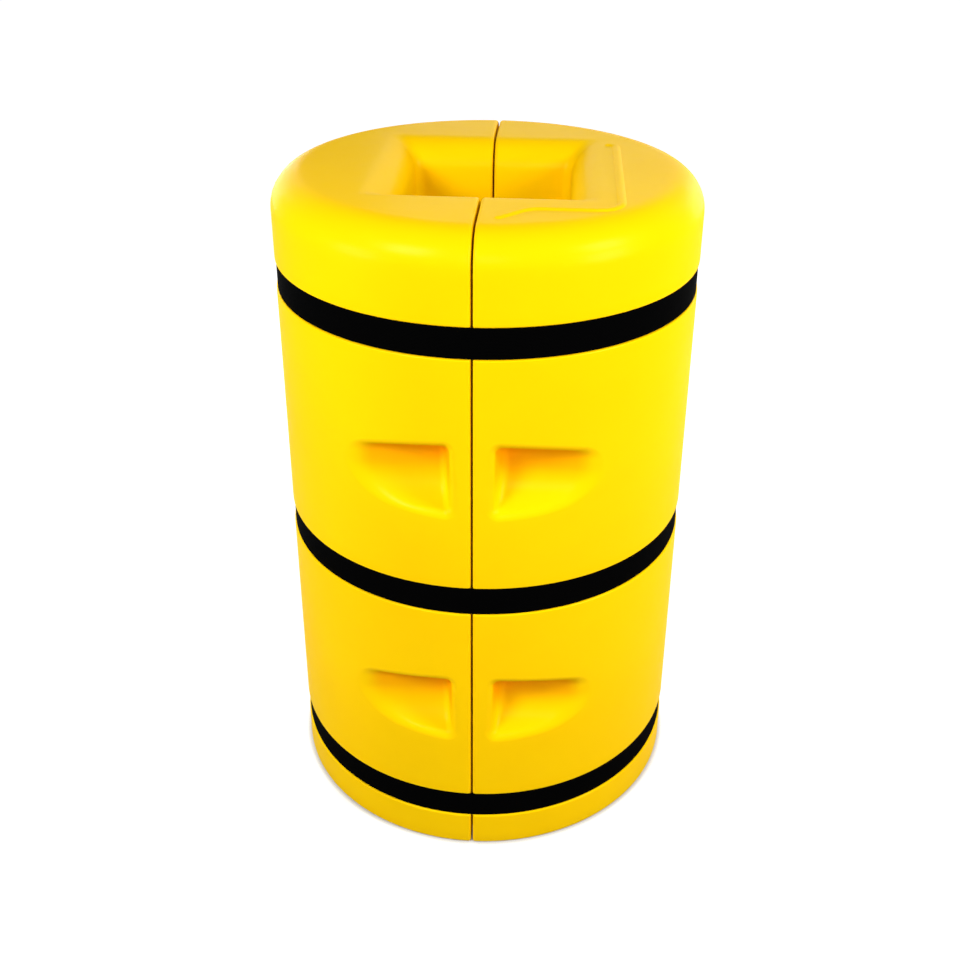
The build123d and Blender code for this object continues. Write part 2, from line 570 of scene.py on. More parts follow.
@dataclass(frozen=True)
class NappedPile:
    """Black loop pile: a fine uneven nap with a soft sheen."""

    name: str = "napped_pile"
    painted_hollow_shade: tuple = (0.0015, 0.0015, 0.0016)
    crown: tuple = (0.0120, 0.0120, 0.0125)
    tuft_noise: tuple = (900.0, 3.0)
    depth: float = 0.0006
    roughness: float = 0.92
    specular: float = 0.05
    sheen: float = 0.07

    def build(self) -> bpy.types.Material:
        """Make the material.

        Returns:
            The material.
        """
        material, nodes = new_material(self.name)
        cloth = nodes.add("ShaderNodeAttribute", attribute_name="weave").outputs["Vector"]
        tufts = nodes.spread(nodes.noise(cloth, *self.tuft_noise), 0.0, 1.0)
        shader = nodes.surface(self.roughness, self.specular)
        # Painted shadow: the colour darkens into the low places of the nap.
        colour = nodes.tint(tufts, self.painted_hollow_shade, self.crown)
        relief = nodes.bump(tufts, self.depth)
        nodes.put(shader, {"Sheen Weight": self.sheen, "Base Color": colour, "Normal": relief})
        return material


@dataclass(frozen=True)
class HookPlastic:
    """Black nylon of the hook tape, slightly glossy and uneven."""

    name: str = "hook_nylon"
    colour: tuple = (0.006, 0.006, 0.0065)
    grain_crest_colour: tuple = (0.011, 0.011, 0.0115)
    grain_noise: tuple = (500.0, 2.0)
    depth: float = 0.0001
    roughness: tuple = (0.38, 0.55)
    specular: float = 0.35

    def build(self) -> bpy.types.Material:
        """Make the material.

        Returns:
            The material.
        """
        material, nodes = new_material(self.name)
        place = nodes.add("ShaderNodeTexCoord").outputs["Object"]
        grain = nodes.noise(place, *self.grain_noise)
        shader = nodes.surface(nodes.spread(grain, *self.roughness), self.specular)
        # Lighter where the grain stands higher.
        colour = nodes.tint(nodes.spread(grain, 0.0, 1.0), self.colour, self.grain_crest_colour)
        nodes.put(shader, {"Base Color": colour, "Normal": nodes.bump(grain, self.depth)})
        return material


@dataclass(frozen=True)
class FloorPaint:
    """Pale floor that the camera sees as white, with less glow near the drum and a painted contact shadow
    where it stands.
    """

    colour: tuple = (0.40, 0.40, 0.40)
    roughness: float = 0.9
    near_glow: float = 0.70
    far_glow: float = 1.0
    reach: tuple = (0.45, 2.2)
    painted_contact_shadow: float = 0.010
    painted_contact_samples: int = 8
    painted_contact_power: float = 2.0

    def build(self) -> bpy.types.Material:
        """Make the material.

        Returns:
            The material.
        """
        material, nodes = new_material("floor_paint")
        shader = nodes.surface(self.roughness, 0.0)
        away = nodes.add("ShaderNodeVectorMath", operation="LENGTH")
        nodes.join(nodes.add("ShaderNodeTexCoord").outputs["Object"], away.inputs[0])
        glow = nodes.spread(away.outputs["Value"], self.near_glow, self.far_glow, self.reach, eased=True)
        # Painted contact shadow: ambient occlusion dims the glow where the drum meets the floor.
        touch = nodes.add("ShaderNodeAmbientOcclusion", samples=self.painted_contact_samples)
        touch.inputs["Distance"].default_value = self.painted_contact_shadow
        clear = nodes.math("POWER", touch.outputs["AO"], self.painted_contact_power)
        seen = nodes.math("MULTIPLY", seen_directly(nodes), nodes.math("MULTIPLY", glow, clear))
        nodes.put(shader, {"Base Color": (*self.colour, 1.0)})
        nodes.put(shader, {"Emission Color": WHITE, "Emission Strength": seen})
        return material


def seen_directly(nodes: Nodes) -> bpy.types.NodeSocket:
    """1 where the camera looks, also by way of a mirror or glass, and 0 where only light travels.

    Args:
        nodes: nodes to add to.

    Returns:
        The socket of that number.
    """
    path = nodes.add("ShaderNodeLightPath").outputs
    mirrored = nodes.math("MAXIMUM", path["Is Glossy Ray"], path["Is Transmission Ray"])
    return nodes.math("MAXIMUM", path["Is Camera Ray"], mirrored)


@dataclass(frozen=True)
class Drum:
    """Sizes that both half shells share."""

    radius: float = 0.3302
    height: float = 1.067
    top_edge_radius: float = 0.053
    foot_radius: float = 0.003
    bore_half: float = 0.127
    bore_corner_radius: float = 0.016
    bore_mouth_radius: float = 0.048
    bore_foot_radius: float = 0.002
    seam_face: float = 0.0015
    seam_edge_radius: float = 0.005


@dataclass(frozen=True)
class Groove:
    """Groove that a strap lies in."""

    width: float = 0.048
    depth: float = 0.0043
    lip_radius: float = 0.0022
    floor_radius: float = 0.0010
    lip_margin: float = 0.006
    spacing: float = 0.009
    arc_steps: int = 5

    def profile(self) -> np.ndarray:
        """Points across the groove, from its upper lip down.

        Returns:
            Depth and height of each point.
        """
        half = self.width / 2
        edge = half + self.lip_margin
        corners = [
            (0, edge), (0, half), (self.depth, half), (self.depth, -half), (0, -half), (0, -edge),
        ]
        radii = [self.lip_radius, self.floor_radius, self.floor_radius, self.lip_radius]
        return spaced_line(rounded_line(corners, radii, self.arc_steps), self.spacing)


@dataclass(frozen=True)
class HandPocket:
    """Hand pocket beside a seam, square to the front of the drum and sloped so that a hand slides in."""

    drum: Drum
    seam_offset: float = 0.030
    depth: float = 0.052
    rise: float = 0.055
    drop: float = 0.060
    ceiling_slope: float = math.radians(28.5)
    ramp_slope: float = math.radians(22.0)
    end_draft: float = math.radians(13.0)
    ceiling_radius: float = 0.011
    ramp_radius: float = 0.034
    end_radius: float = 0.010
    upper_lip_radius: float = 0.007
    lower_lip_radius: float = 0.010
    lip_change: float = 0.030
    # Depths and heights over which the painted shadow under the ceiling fades in.
    painted_shade_depth: tuple = (0.001, 0.016)
    painted_shade_height: tuple = (-0.036, 0.018)
    eye_distance: float = 0.045
    eye_drop: float = 0.006
    reach: float = 0.078
    fine_above: float = math.radians(34)
    fine_below: float = math.radians(-28)
    fine_step: float = math.radians(0.75)
    coarse_step: float = math.radians(1.6)
    sight_factor: float = 2.5
    solve_steps: int = 44

    def sight_lines(self) -> np.ndarray:
        """Lines, from an eye before the drum, that the rows of the pocket lie on.

        Returns:
            The angle of each line, from the top down.
        """
        edge = math.atan2(self.reach, self.eye_distance)
        return stations(
            (edge, self.fine_above, self.fine_step),
            (self.fine_above, self.fine_below, self.coarse_step),
            (self.fine_below, -edge, self.fine_step),
        )

    def inside(self, x: np.ndarray, t: np.ndarray, z: np.ndarray) -> np.ndarray:
        """Depth of points inside the plastic.

        Args:
            x: distance from the seam.
            t: distance behind the plane that touches the front of the drum.
            z: height above the middle of the pocket.

        Returns:
            Depth below the surface, positive in the plastic.
        """
        ceiling = (self.rise - t * math.tan(self.ceiling_slope) - z) * math.cos(self.ceiling_slope)
        ramp = (z + self.drop - t * math.tan(self.ramp_slope)) * math.cos(self.ramp_slope)
        back = self.depth - t
        end = (x - self.seam_offset - t * math.tan(self.end_draft)) * math.cos(self.end_draft)
        hollow = round_meet(back, ramp, self.ramp_radius)
        hollow = round_meet(hollow, ceiling, self.ceiling_radius)
        hollow = round_meet(hollow, end, self.end_radius)
        skin = self.drum.radius - np.hypot(x, self.drum.radius - t)
        share = eased_share(z, -self.lip_change / 2, self.lip_change / 2)
        lip = self.lower_lip_radius + (self.upper_lip_radius - self.lower_lip_radius) * share
        return round_meet(skin, -hollow, lip)

    def painted_shade(self, depth: np.ndarray, z: np.ndarray) -> np.ndarray:
        """Share of the painted shadow under the ceiling: deeper orange where the walls colour each other's
        light.

        Args:
            depth: distance below the side of the drum.
            z: height above the middle of the pocket.

        Returns:
            The share, from 0 to 1.
        """
        share = eased_share(depth, *self.painted_shade_depth) * eased_share(z, *self.painted_shade_height)
        return np.where(z < self.reach, share, 0.0)

    def rows(self, x: np.ndarray) -> tuple[np.ndarray, np.ndarray]:
        """Surface of the drum and the pocket where sight lines meet it.

        Args:
            x: distance of each column from the seam.

        Returns:
            Distance behind the front plane and height above the pocket's middle, in rows and columns.
        """
        angles = self.sight_lines()[:, None]
        skin = self.drum.radius - np.sqrt(self.drum.radius**2 - x**2)
        eye = (skin - self.eye_distance)[None, :]
        near = np.zeros((len(angles), len(x)))
        far = near + self.sight_factor * (self.eye_distance + self.depth) / np.cos(angles)
        for _ in range(self.solve_steps):
            middle = (near + far) / 2
            t = eye + middle * np.cos(angles)
            z = -self.eye_drop + middle * np.sin(angles)
            solid = self.inside(x[None, :] + 0 * t, t, z) > 0
            far = np.where(solid, middle, far)
            near = np.where(solid, near, middle)
        return eye + far * np.cos(angles), -self.eye_drop + far * np.sin(angles)


@dataclass(frozen=True)
class Vent:
    """Air vent through the wall that faces the column, in a square patch of the wall's cells."""

    height: float = 0.150
    radius: float = 0.005
    lip_radius: float = 0.001
    depth: float = 0.022
    cell: float = 0.006
    half_cells: int = 2
    lip_steps: int = 4
    first_angle: float = math.radians(-135)

    @property
    def half_patch(self) -> float:
        """Half of the side of the patch."""
        return self.half_cells * self.cell


@dataclass
class HalfShell:
    """One moulded half of the drum: a closed skin of rows round its section and columns round the drum.

    The zones give where columns lie closer: start, end and spacing.
    """

    side: Side
    strap_heights: list[float]
    pocket_heights: list[float]
    drum: Drum = field(default_factory=Drum)
    groove: Groove = field(default_factory=Groove)
    vent: Vent = field(default_factory=Vent)
    edge_steps: int = 8
    mouth_steps: int = 14
    top_steps: int = 7
    round_steps: int = 16
    foot_steps: int = 4
    base_steps: int = 3
    plain_spacing: float = 0.022
    wall_spacing: float = 0.09
    column_spacing: float = 0.005
    end_wall_zone: tuple = (0.022, 0.056, 0.0008)
    run_out_zone: tuple = (0.162, 0.192, 0.0025)
    last_spacing: float = 0.0065
    pocket_end: float = 0.205
    fan_spacing: float = math.radians(2.2)
    side_start: float = 0.048
    corner_spacing: float = 0.016
    side_spacing: float = 0.012
    mitre_power: int = 3

    def __post_init__(self) -> None:
        """Work out the columns of the front quarter."""
        drum = self.drum
        self.pocket = HandPocket(drum)
        turn = np.linspace(math.pi / 2, 0, self.edge_steps + 1)
        edge_x = drum.seam_face + drum.seam_edge_radius * (1 - np.sin(turn))
        corner = drum.bore_half - drum.bore_corner_radius
        front_x = stations(
            (edge_x[-1], self.end_wall_zone[0], self.column_spacing),
            self.end_wall_zone,
            (self.end_wall_zone[1], corner, self.column_spacing),
            (corner, self.run_out_zone[0], self.column_spacing),
            self.run_out_zone,
            (self.run_out_zone[1], self.pocket_end, self.last_spacing),
        )
        x = np.concatenate([edge_x, front_x[1:]])
        self.corner_angle = math.asin(corner / drum.radius)
        side_y = stations(
            (corner, self.side_start, self.corner_spacing),
            (self.side_start, self.vent.half_patch, self.side_spacing),
            (self.vent.half_patch, 0, self.vent.cell),
        )
        fan_start = math.asin(self.pocket_end / drum.radius)
        fan = stations((fan_start, math.pi / 2 - self.corner_angle, self.fan_spacing))
        front, side = np.arcsin(x / drum.radius), np.arccos(side_y / drum.radius)
        self.angle = np.concatenate([front, fan[1:], side[1:]])
        self.inset = np.zeros(len(self.angle))
        self.inset[: len(edge_x)] = drum.seam_edge_radius * (1 - np.cos(turn))
        self.rim = np.column_stack([np.sin(self.angle), -np.cos(self.angle)])
        self.rim_in = np.where((self.inset > 0)[:, None], [0.0, 1.0], -self.rim)
        span = math.pi / 2 - 2 * self.corner_angle
        turn = np.clip((self.angle - self.corner_angle) / span, 0, 1) * math.pi / 2
        self.wall_in = np.column_stack([np.sin(turn), -np.cos(turn)])
        self.wall = self.bore_plan(0.0)

    def bore_plan(self, spread: float) -> np.ndarray:
        """Places of the columns on the walls of the square passage.

        Args:
            spread: distance by which the walls stand back.

        Returns:
            The places in plan.
        """
        drum = self.drum
        corner = drum.bore_half - drum.bore_corner_radius
        middle = np.clip(drum.radius * self.rim * [1.0, -1.0], 0, corner)
        middle += spread * (middle / corner) ** self.mitre_power
        return middle * [1.0, -1.0] + drum.bore_corner_radius * self.wall_in

    def lay(
        self, plan: np.ndarray, z: np.ndarray | float, into: np.ndarray, down: float = 0.0
    ) -> np.ndarray:
        """One row of points, drawn in at the seam edge.

        Args:
            plan: places of the columns.
            z: height of the row.
            into: direction into the plastic in plan.
            down: share of that direction that points down.

        Returns:
            The points of the row.
        """
        level = np.sqrt(1 - down * down)
        shifted = plan + into * (self.inset * level)[:, None]
        return np.column_stack([shifted, z - self.inset * down])

    def on_spoke(self, radius: float) -> np.ndarray:
        """Places where the columns cross a circle, between the passage and the rim.

        Args:
            radius: radius of the circle round the drum's axis.

        Returns:
            The places in plan.
        """
        start = self.bore_plan(self.drum.bore_mouth_radius)
        run = self.drum.radius * self.rim - start
        a = (run * run).sum(1)
        b = (run * start).sum(1)
        c = (start * start).sum(1) - radius**2
        return start + run * ((-b + np.sqrt(b * b - a * c)) / a)[:, None]

    def inner_rows(self) -> list[np.ndarray]:
        """Rows up the passage wall, round its mouth and over the top.

        Returns:
            The points of each row.
        """
        drum = self.drum
        rows = []
        for turn in np.linspace(0, math.pi / 2, self.foot_steps + 1):
            out = drum.bore_foot_radius * (1 - math.sin(turn))
            rise = drum.bore_foot_radius * (1 - math.cos(turn))
            rows.append(self.lay(self.bore_plan(out), rise, self.wall_in))
        vent_low = self.vent.height - self.vent.half_patch
        vent_high = self.vent.height + self.vent.half_patch
        heights = stations(
            (drum.bore_foot_radius, vent_low, self.wall_spacing),
            (vent_low, vent_high, self.vent.cell),
            (vent_high, drum.height - drum.bore_mouth_radius, self.wall_spacing),
        )
        self.vent_row = self.foot_steps + int(np.argmin(abs(heights - vent_low)))
        rows += [self.lay(self.wall, z, self.wall_in) for z in heights[1:-1]]
        for turn in np.linspace(0, math.pi / 2, self.mouth_steps + 1):
            out = drum.bore_mouth_radius * (1 - math.cos(turn))
            rise = drum.bore_mouth_radius * (math.sin(turn) - 1)
            rows.append(self.lay(self.bore_plan(out), drum.height + rise, self.wall_in, math.sin(turn)))
        inner = self.bore_plan(drum.bore_mouth_radius)
        outer = self.on_spoke(drum.radius - drum.top_edge_radius)
        for share in np.linspace(0, 1, self.top_steps + 1)[1:-1]:
            rows.append(self.lay(inner + (outer - inner) * share, drum.height, self.wall_in, 1.0))
        for turn in np.linspace(math.pi / 2, 0, self.round_steps + 1):
            radius = drum.radius - drum.top_edge_radius * (1 - math.cos(turn))
            z = drum.height - drum.top_edge_radius * (1 - math.sin(turn))
            rows.append(self.lay(self.on_spoke(radius), z, self.rim_in, math.sin(turn)))
        return rows

    def pocket_rows(self, height: float) -> list[np.ndarray]:
        """Rows down the side past one hand pocket.

        Args:
            height: height of the pocket's middle.

        Returns:
            The points of each row.
        """
        radius = self.drum.radius
        reached = radius * self.rim[:, 0] <= self.pocket_end
        x = radius * self.rim[reached, 0]
        depth, rise = self.pocket.rows(x)
        rows = []
        for line, angle in enumerate(self.pocket.sight_lines()):
            plain = self.pocket.eye_distance * math.tan(angle) - self.pocket.eye_drop
            plan = radius * self.rim
            plan[reached] = np.column_stack([x, depth[line] - radius])
            z = np.full(len(plan), height + plain)
            z[reached] = height + rise[line]
            rows.append(self.lay(plan, z, self.rim_in))
        return rows

    def side_rows(self) -> list[np.ndarray]:
        """Rows down the side, past the strap grooves and hand pockets, and round the foot.

        Returns:
            The points of each row.
        """
        drum = self.drum
        blocks = []
        for height in self.strap_heights:
            profile = self.groove.profile()
            plans = [drum.radius * self.rim + self.rim_in * deep for deep in profile[:, 0]]
            rows = [self.lay(plan, height + z, self.rim_in) for plan, z in zip(plans, profile[:, 1])]
            blocks.append((height + profile[0, 1], height + profile[-1, 1], rows))
        for height in self.pocket_heights:
            rows = self.pocket_rows(height)
            blocks.append((rows[0][-1, 2], rows[-1][-1, 2], rows))
        blocks.sort(key=lambda block: -block[0])
        rows = []
        z = drum.height - drum.top_edge_radius
        for top, bottom, block in blocks + [(drum.foot_radius, 0.0, [])]:
            heights = stations((z, top, self.plain_spacing))
            rows += [self.lay(drum.radius * self.rim, place, self.rim_in) for place in heights[1:-1]]
            rows += block
            z = bottom
        for turn in np.linspace(0, math.pi / 2, self.foot_steps + 1):
            radius = drum.radius - drum.foot_radius * (1 - math.cos(turn))
            rows.append(self.lay(radius * self.rim, drum.foot_radius * (1 - math.sin(turn)), self.rim_in))
        return rows

    def section(self) -> np.ndarray:
        """The whole half: the front quarter and its mirror image behind.

        Returns:
            The points, in rows and columns.
        """
        rows = self.inner_rows() + self.side_rows()
        last, first = rows[-1], rows[0]
        for share in np.linspace(0, 1, self.base_steps + 1)[1:-1]:
            rows.append(last + (first - last) * share)
        quarter = np.array(rows)
        behind = quarter[:, -2::-1] * [1.0, -1.0, 1.0]
        whole = np.concatenate([quarter, behind], 1)
        whole[:, :, 0] *= self.side.value
        return whole

    def build(self) -> bpy.types.Object:
        """Make the half shell, with its mating faces and its air vent.

        Returns:
            The object.
        """
        draft = Draft()
        section = self.section()
        on_side = np.arange(len(section)) >= len(self.inner_rows())
        depth = self.drum.radius - np.hypot(section[:, :, 0], section[:, :, 1])
        # Painted shadow: deeper orange under the pocket ceilings, on the side rows only.
        painted_shade = sum(self.pocket.painted_shade(depth, section[:, :, 2] - height) for height in self.pocket_heights)
        grid = draft.add(section, painted_shade=painted_shade * on_side[:, None])
        low, left = self.vent_row, len(self.angle) - 1 - self.vent.half_cells
        high, right = low + 2 * self.vent.half_cells, left + 2 * self.vent.half_cells
        holes = np.zeros((grid.shape[0], grid.shape[1] - 1), bool)
        holes[low:high, left:right] = True
        draft.skin(grid, around=True, leave_out=holes)
        draft.cap(grid[:, 0])
        draft.cap(grid[:, -1])
        patch = grid[low : high + 1, left : right + 1]
        edge = np.concatenate([patch[0, :-1], patch[:-1, -1], patch[-1, :0:-1], patch[:0:-1, 0]])
        self.pierce(draft, edge)
        return draft.build(f"{self.side.name.lower()}_shell")

    def dress(self, finishes: dict[Slot, bpy.types.Material]) -> None:
        """Make the half shell, let it ride on its body and give it its finish.

        Args:
            finishes: material of each slot.
        """
        shell = self.build()
        body = f"{self.side.name.lower()}_half"
        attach(shell, body)
        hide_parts(f"{body}_shell")
        give_finish(shell, finishes, Slot.SHELL)

    def pierce(self, draft: Draft, edge: np.ndarray) -> None:
        """Sink the air vent inside a loop of points of the passage wall.

        Args:
            draft: draft of the shell.
            edge: numbers of the points round the vent.
        """
        vent = self.vent
        angles = vent.first_angle + np.arange(len(edge)) * 2 * math.pi / len(edge)
        turns = np.linspace(0, math.pi / 2, vent.lip_steps + 1)
        radii = np.append(vent.radius + vent.lip_radius * (1 - np.sin(turns)), vent.radius)
        depths = np.append(vent.lip_radius * (1 - np.cos(turns)), vent.depth)
        loops = [edge]
        for radius, depth in zip(radii, depths):
            x = np.full(len(edge), self.side.value * (self.drum.bore_half + depth))
            y = radius * np.cos(angles)
            z = vent.height + radius * np.sin(angles)
            loops.append(draft.add(np.column_stack([x, y, z])))
        draft.wrap(loops)
        draft.cap(loops[-1])


@dataclass(frozen=True)
class TopBead:
    """Thin bead moulded on the top of the right half, round the passage."""

    drum: Drum = field(default_factory=Drum)
    width: float = 0.0135
    height: float = 0.0028
    root: float = 0.002
    side_margin: float = 0.070
    front_margin: float = 0.085
    back_margin: float = 0.008
    mouth_margin: float = 0.003
    seam_offset: float = 0.026
    jog_length: float = 0.044
    jog_depth: float = 0.048
    radii: tuple = (0.040, 0.036, 0.012)
    spacing: float = 0.004
    taper: float = 0.008
    end_width: float = 0.4
    section_steps: int = 8
    arc_steps: int = 8

    def path(self) -> np.ndarray:
        """Plan of the bead, from the front seam to the back of the passage.

        Returns:
            The points of its middle line.
        """
        half = self.drum.bore_half
        side = half + self.side_margin
        front = -(half + self.front_margin)
        back = half + self.back_margin
        corners = [
            (self.seam_offset, front - self.jog_depth),
            (self.seam_offset + self.jog_length, front),
            (side, front),
            (side, back),
            (half + self.drum.bore_mouth_radius + self.mouth_margin, back),
        ]
        return spaced_line(rounded_line(corners, list(self.radii), self.arc_steps), self.spacing)

    def build(self) -> bpy.types.Object:
        """Make the bead, low and rounded, with ends that run out into the top.

        Returns:
            The object.
        """
        path = self.path()
        along = distances(path)
        ends = np.clip(np.minimum(along, along[-1] - along) / self.taper, 0, 1)
        swell = np.sqrt(1 - (1 - ends) ** 2)
        heading = np.gradient(path, axis=0)
        heading /= np.linalg.norm(heading, axis=1)[:, None]
        across = np.column_stack([-heading[:, 1], heading[:, 0]])
        turn = np.linspace(0, math.pi, self.section_steps + 1)
        out = np.concatenate([[self.width / 2], self.width / 2 * np.cos(turn), [-self.width / 2]])
        up = np.concatenate([[-self.root], self.height * np.sin(turn) ** 2, [-self.root]])
        broad = self.end_width + (1 - self.end_width) * swell
        plan = path[:, None, :] + across[:, None, :] * (out * broad[:, None])[:, :, None]
        rise = np.where(up > 0, up * swell[:, None], up)
        draft = Draft()
        draft.tube(draft.add(np.concatenate([plan, self.drum.height + rise[:, :, None]], 2)))
        return draft.build("top_bead")

    def dress(self, finishes: dict[Slot, bpy.types.Material]) -> None:
        """Make the bead, let it ride on the right half and give it its finish.

        Args:
            finishes: material of each slot.
        """
        bead = self.build()
        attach(bead, "right_half")
        give_finish(bead, finishes, Slot.SHELL)


@dataclass(frozen=True)
class Tape:
    """Flat woven tape with rounded edges, laid along a path seen from above."""

    thickness: float
    across: int = 12
    edge_steps: int = 6

    def section(self, half_width: float) -> np.ndarray:
        """Loop of points round the tape.

        Args:
            half_width: half of its width there.

        Returns:
            Place across the tape and off its middle of each point.
        """
        half = self.thickness / 2
        flat = np.linspace(-(half_width - half), half_width - half, self.across + 1)
        turn = np.linspace(math.pi / 2, -math.pi / 2, self.edge_steps + 1)[1:-1]
        outer = np.column_stack([flat, np.full(len(flat), half)])
        edge = np.column_stack([half_width - half + half * np.cos(turn), half * np.sin(turn)])
        return np.concatenate([outer, edge, -outer, -edge])

    def lay(
        self, path: np.ndarray, outward: np.ndarray, along: np.ndarray, height: float, half_width: np.ndarray
    ) -> Draft:
        """Draft of the tape.

        Args:
            path: plan of its middle, one row for each place.
            outward: directions away from the drum there.
            along: distances along the tape there.
            height: height of its middle.
            half_width: half of its width there.

        Returns:
            The draft.
        """
        sections = np.array([self.section(half) for half in half_width])
        plan = path[:, None, :] + outward[:, None, :] * sections[:, :, 1:]
        points = np.concatenate([plan, height + sections[:, :, :1]], 2)
        places = np.stack([along[:, None] + 0 * sections[:, :, 0], sections[:, :, 0]], 2)
        draft = Draft()
        draft.tube(draft.add(points, places))
        return draft


@dataclass
class Strap:
    """One hook-and-loop strap: webbing round both halves, a loop patch, and a tail with a hook patch."""

    level: Level
    drum: Drum = field(default_factory=Drum)
    recess: float = 0.002
    webbing: float = 0.002
    loop_thickness: float = 0.001
    hook_thickness: float = 0.001
    sewn_gap: float = 0.0002
    closing_gap: float = 0.0005
    tail_length: float = 0.165
    tail_end_radius: float = 0.010
    patch_side_margin: float = 0.001
    loop_start: float = 0.004
    loop_past_tail: float = 0.019
    hook_root_margin: float = 0.012
    hook_end_margin: float = 0.033
    rear_stop: float = 0.0075
    root_start: float = 0.0085
    fold_reach: float = 0.006
    fold_zone: float = 2.5
    fold_step: float = 0.002
    run_step: float = 0.02
    root_points: int = 12
    peel_reach: float = 0.004
    peel_spacing: float = 0.0008
    tail_spacing: float = 0.005
    tail_end_points: int = 9
    loop_spacing: float = 0.002
    loop_across: int = 24
    hook_spacing: float = 0.004
    stitch_inset: float = 0.0035

    def __post_init__(self) -> None:
        """Read the strap's place from the frame and work out its layers."""
        low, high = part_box(f"{self.level.value}_strap_left_run")
        self.height = (low.z + high.z) / 2
        self.half_width = (high.z - low.z) / 2
        self.run_radius = self.drum.radius - self.recess - self.webbing / 2
        half_web, half_loop, half_hook = self.webbing / 2, self.loop_thickness / 2, self.hook_thickness / 2
        self.loop_radius = self.run_radius + half_web + self.sewn_gap + half_loop
        self.hook_radius = self.loop_radius + half_loop + self.closing_gap + half_hook
        self.tail_radius = self.hook_radius + half_hook + self.sewn_gap + half_web
        self.lift_angle = math.acos(self.run_radius / self.tail_radius)
        self.fold_y = -(self.run_radius + self.webbing / 2)
        self.peel_y = self.tail_radius + self.webbing / 2

    def name(self, part: str) -> str:
        """Name of one of the strap's pieces."""
        return f"{self.level.value}_{part}"

    def behind(self, radius: float, along: np.ndarray) -> tuple[np.ndarray, np.ndarray]:
        """Places on a circle, counted along the tail from the rear seam.

        Args:
            radius: radius of the circle.
            along: distances from the rear seam towards -X.

        Returns:
            The places in plan and the directions away from the drum there.
        """
        outward = np.column_stack([-np.sin(along / radius), np.cos(along / radius)])
        return outward * radius, outward

    def web(self) -> bpy.types.Object:
        """Webbing from the rear of the left half, round the front, to the rear of the right half.

        Returns:
            The object.
        """
        radius = self.run_radius
        start = math.asin(self.rear_stop / radius)
        fold = self.fold_zone * self.fold_reach / radius
        angles = stations(
            (start, math.pi - fold, self.run_step),
            (math.pi - fold, math.pi + fold, self.fold_step),
            (math.pi + fold, 2 * math.pi - self.lift_angle, self.run_step),
        )
        path, outward = self.behind(radius, angles * radius)
        lift = np.array([outward[-1, 1], -outward[-1, 0]])
        lift *= -math.copysign(1.0, lift[0])
        run = np.linspace(0, (path[-1, 0] - self.root_start) / abs(lift[0]), self.root_points)[1:]
        path = np.concatenate([path, path[-1] + lift * run[:, None]])
        outward = np.concatenate([outward, np.repeat(outward[-1:], len(run), 0)])
        half = np.full(len(path), self.half_width)
        draft = Tape(self.webbing).lay(path, outward, distances(path), self.height, half)
        piece = draft.build(self.name("strap_web"))
        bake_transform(piece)
        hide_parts(self.name("strap_left_run"), self.name("strap_right_run"))
        return piece

    def tail(self) -> bpy.types.Object:
        """Free end of the strap, from the rear of the right half over the seam, with rounded corners.

        Returns:
            The object.
        """
        end = self.tail_end_radius
        straight = self.tail_length - end
        bend = 2 * self.peel_reach
        along = stations((0, bend, self.peel_spacing), (bend, straight, self.tail_spacing))
        turn = np.linspace(0, math.pi / 2, self.tail_end_points)
        along = np.concatenate([along[:-1], straight + end * np.sin(turn)])
        taper = np.maximum(along - straight, 0)
        half = self.half_width - end + np.sqrt(np.maximum(end**2 - taper**2, 0))
        path, outward = self.behind(self.tail_radius, along)
        root = np.linspace(self.root_start, 0, self.root_points)[:-1]
        slope = math.tan(self.lift_angle)
        rise = np.column_stack([root, self.tail_radius - root * slope])
        off = np.array([math.sin(self.lift_angle), math.cos(self.lift_angle)])
        path = np.concatenate([rise, path])
        outward = np.concatenate([np.repeat(off[None], len(root), 0), outward])
        along = np.concatenate([-root, along])
        half = np.concatenate([np.full(len(root), self.half_width), half])
        draft = Tape(self.webbing).lay(path, outward, along, self.height, half)
        piece = draft.build(self.name("strap_tail_web"))
        self.name("tail")
        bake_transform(piece)
        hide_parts(self.name("strap_tail"))
        return piece

    def loop_patch(self) -> bpy.types.Object:
        """Loop pile sewn on the webbing of the left half.

        Returns:
            The object.
        """
        along = stations((self.loop_start, self.tail_length + self.loop_past_tail, self.loop_spacing))
        path, outward = self.behind(self.loop_radius, along)
        half = np.full(len(along), self.half_width - self.patch_side_margin)
        tape = Tape(self.loop_thickness, across=self.loop_across)
        draft = tape.lay(path, outward, along, self.height, half)
        piece = draft.build(self.name("loop_pile"))
        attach(piece, "left_half")
        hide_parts(self.name("loop_patch"))
        return piece

    def hook_patch(self) -> bpy.types.Object:
        """Hook tape sewn under the tail, with its field of small hooks.

        Returns:
            The object.
        """
        backing = self.hook_thickness / 2
        hook_end = self.tail_length - self.hook_end_margin
        along = stations((self.hook_root_margin, hook_end, self.hook_spacing))
        path, outward = self.behind(self.hook_radius + backing / 2, along)
        half = np.full(len(along), self.half_width - self.patch_side_margin)
        draft = Tape(backing).lay(path, outward, along, self.height, half)
        HookField().sow(draft, self)
        piece = draft.build(self.name("hook_field"))
        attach(piece, self.name("tail"))
        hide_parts(self.name("hook_patch"))
        return piece

    def stitching(self) -> bpy.types.Object:
        """Stitches through the tail that hold the hook patch, round its edge.

        Returns:
            The object.
        """
        seam = Stitching(self.tail_radius + self.webbing / 2, self.height)
        start = self.hook_root_margin + self.stitch_inset
        end = self.tail_length - self.hook_end_margin - self.stitch_inset
        half = self.half_width - self.patch_side_margin - self.stitch_inset
        draft = Draft()
        box = [(start, -half), (end, -half), (end, half), (start, half), (start, -half)]
        for first, second in zip(box[:-1], box[1:]):
            seam.sew(draft, first, second)
        piece = draft.build(self.name("tail_stitching"))
        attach(piece, self.name("tail"))
        return piece

